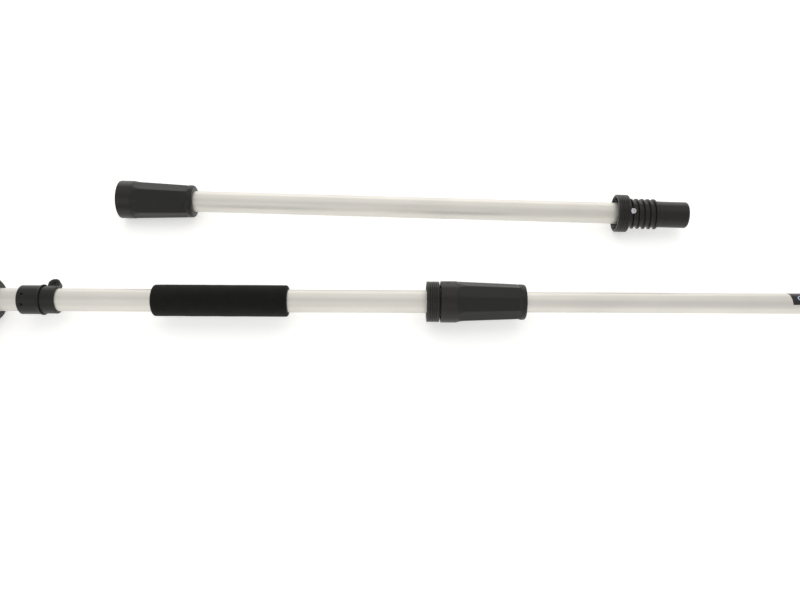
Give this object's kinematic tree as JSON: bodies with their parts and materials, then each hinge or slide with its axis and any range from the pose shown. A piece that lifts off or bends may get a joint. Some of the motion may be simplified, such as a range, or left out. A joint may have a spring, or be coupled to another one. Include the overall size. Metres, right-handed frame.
{
  "type": "telescoping pole saw",
  "caption": "Electric saw on a telescoping pole with a foam grip, harness clamp and screw coupling, and a loose extension tube.",
  "frame": {"origin": "on the pole's axis, at the middle of the bare tube between foam grip and coupling", "axes": "+X along the pole to the saw head, +Y the tool's top, +Z its right-hand side, which faces up as it lies"},
  "size_m": [1.9783, 0.2689, 0.088],
  "materials": {
    "satin_aluminium": "satin, lightly blasted",
    "foam": "closed-cell foam",
    "nylon": "moulded, matte",
    "nylon_inner": "moulded",
    "shell_plastic": "moulded, fine texture",
    "accent_plastic": "moulded",
    "tank_plastic": "translucent blow moulding",
    "soft_rubber": "soft touch",
    "lead_rubber": "cable sheath",
    "bright_steel": "bright zinc",
    "dark_steel": "blackened",
    "bearing_steel": "ground",
    "gear_steel": "cut steel",
    "bar_steel": "ground and lacquered",
    "chain_steel": "oiled steel",
    "lamination_steel": "stacked laminations",
    "copper": "enamelled copper",
    "brass": "turned"
  },
  "bodies": {
    "pole": {"rear_tube": "satin_aluminium", "foam_grip": "foam", "rear_plug": "nylon", "rear_plug_screw": "bright_steel", "collet": "nylon_inner", "coiled_lead": "lead_rubber", "handle_shell_right": "shell_plastic", "handle_shell_left": "shell_plastic", "handle_screws": "dark_steel", "grip_sleeve": "soft_rubber", "mains_inlet": "nylon_inner", "inlet_pins": "brass", "switch_body": "nylon_inner", "supply_wires": "lead_rubber", "trigger_pin": "bright_steel", "lock_off_spring": "bright_steel", "trigger_spring": "bright_steel"},
    "trigger": {"trigger": "accent_plastic"},
    "lock_off": {"lock_off_button": "accent_plastic"},
    "harness_clamp": {"harness_collar": "nylon", "harness_screws": "dark_steel", "harness_eye": "nylon"},
    "nut_carrier": {"thrust_ring": "nylon_inner"},
    "lock_nut": {"lock_nut": "nylon"},
    "front_pole": {"front_tube": "satin_aluminium", "tube_end_bush": "nylon_inner", "housing_right": "shell_plastic", "housing_left": "shell_plastic", "housing_screws": "dark_steel", "motor_stator": "lamination_steel", "motor_windings": "copper", "brush_holders": "brass", "motor_bearings": "bearing_steel", "shaft_bearings": "bearing_steel", "sprocket_cover": "shell_plastic", "bar_stud": "bright_steel", "oil_tank": "tank_plastic", "oil_pump": "brass", "spiked_bumper": "dark_steel"},
    "armature": {"armature_shaft": "bearing_steel", "armature_core": "lamination_steel", "commutator": "copper", "cooling_fan": "nylon_inner", "bevel_pinion": "gear_steel"},
    "sprocket": {"sprocket_shaft": "bearing_steel", "bevel_gear": "gear_steel", "drive_sprocket": "gear_steel", "sprocket_clip": "dark_steel"},
    "bar": {"guide_bar": "bar_steel", "saw_chain": "chain_steel", "tension_pin": "gear_steel"},
    "tension_screw": {"tension_screw": "bright_steel"},
    "bar_nut": {"bar_nut": "bright_steel"},
    "oil_cap": {"oil_cap": "accent_plastic"},
    "extension": {"extension_tube": "satin_aluminium", "extension_core": "nylon_inner", "extension_plug": "nylon", "extension_plug_screw": "bright_steel"},
    "extension_nut": {"extension_nut": "nylon"}
  },
  "joints": [
    {"name": "telescope", "type": "slide", "parent": "pole", "child": "front_pole", "axis": [1, 0, 0], "range_m": [-0.3, 0], "deforming": ["coiled_lead"]},
    {"name": "nut_advance", "type": "slide", "parent": "pole", "child": "nut_carrier", "axis": [1, 0, 0], "range_m": [0, 0.00375]},
    {"name": "lock_nut_turn", "type": "hinge", "parent": "nut_carrier", "child": "lock_nut", "pos_m": [0.0996, 0, 0], "axis": [1, 0, 0], "range_deg": [0, 180]},
    {"name": "harness_slide", "type": "slide", "parent": "pole", "child": "harness_clamp", "axis": [1, 0, 0], "range_m": [-0.02, 0.11]},
    {"name": "trigger_pull", "type": "hinge", "parent": "pole", "child": "trigger", "pos_m": [-0.554, -0.011, 0], "axis": [0, 0, -1], "range_deg": [0, 8], "stiffness_Nm_per_rad": 0.3, "springref_deg": -5.73, "deforming": ["trigger_spring"]},
    {"name": "lock_off_press", "type": "slide", "parent": "pole", "child": "lock_off", "axis": [0, 0, -1], "range_m": [0, 0.003], "stiffness_N_per_m": 400, "springref_m": -0.001, "deforming": ["lock_off_spring"]},
    {"name": "armature_spin", "type": "hinge", "parent": "front_pole", "child": "armature", "pos_m": [0.75, 0, 0], "axis": [1, 0, 0], "continuous": true},
    {"name": "sprocket_spin", "type": "hinge", "parent": "front_pole", "child": "sprocket", "pos_m": [0.913, 0, 0], "axis": [0, 0, 1], "continuous": true},
    {"name": "bar_tension", "type": "slide", "parent": "front_pole", "child": "bar", "axis": [1, 0, 0], "range_m": [0, 0.002]},
    {"name": "tension_screw_turn", "type": "hinge", "parent": "front_pole", "child": "tension_screw", "pos_m": [0.75, 0.0155, 0.031], "axis": [1, 0, 0], "range_deg": [-900, 0]},
    {"name": "bar_nut_turn", "type": "hinge", "parent": "front_pole", "child": "bar_nut", "pos_m": [0.947, 0, 0.048], "axis": [0, 0, 1], "continuous": true},
    {"name": "oil_cap_turn", "type": "hinge", "parent": "front_pole", "child": "oil_cap", "pos_m": [0.914, 0.0501, 0.024], "axis": [0, 0, 1], "continuous": true},
    {"name": "extension_lift", "type": "slide", "parent": "pole", "child": "extension", "axis": [0, 0, 1], "range_m": [0, 0.3]},
    {"name": "extension_nut_turn", "type": "hinge", "parent": "extension", "child": "extension_nut", "pos_m": [-0.3255, 0.1696, -0.0047], "axis": [0.9995, -0.0305, 0], "continuous": true}
  ],
  "couplings": [
    {"joint": "nut_advance", "follows": "lock_nut_turn", "m_per_rad": 0.0011937},
    {"joint": "sprocket_spin", "follows": "armature_spin", "ratio": 0.33333},
    {"joint": "tension_screw_turn", "follows": "bar_tension", "rad_per_m": -7854}
  ]
}
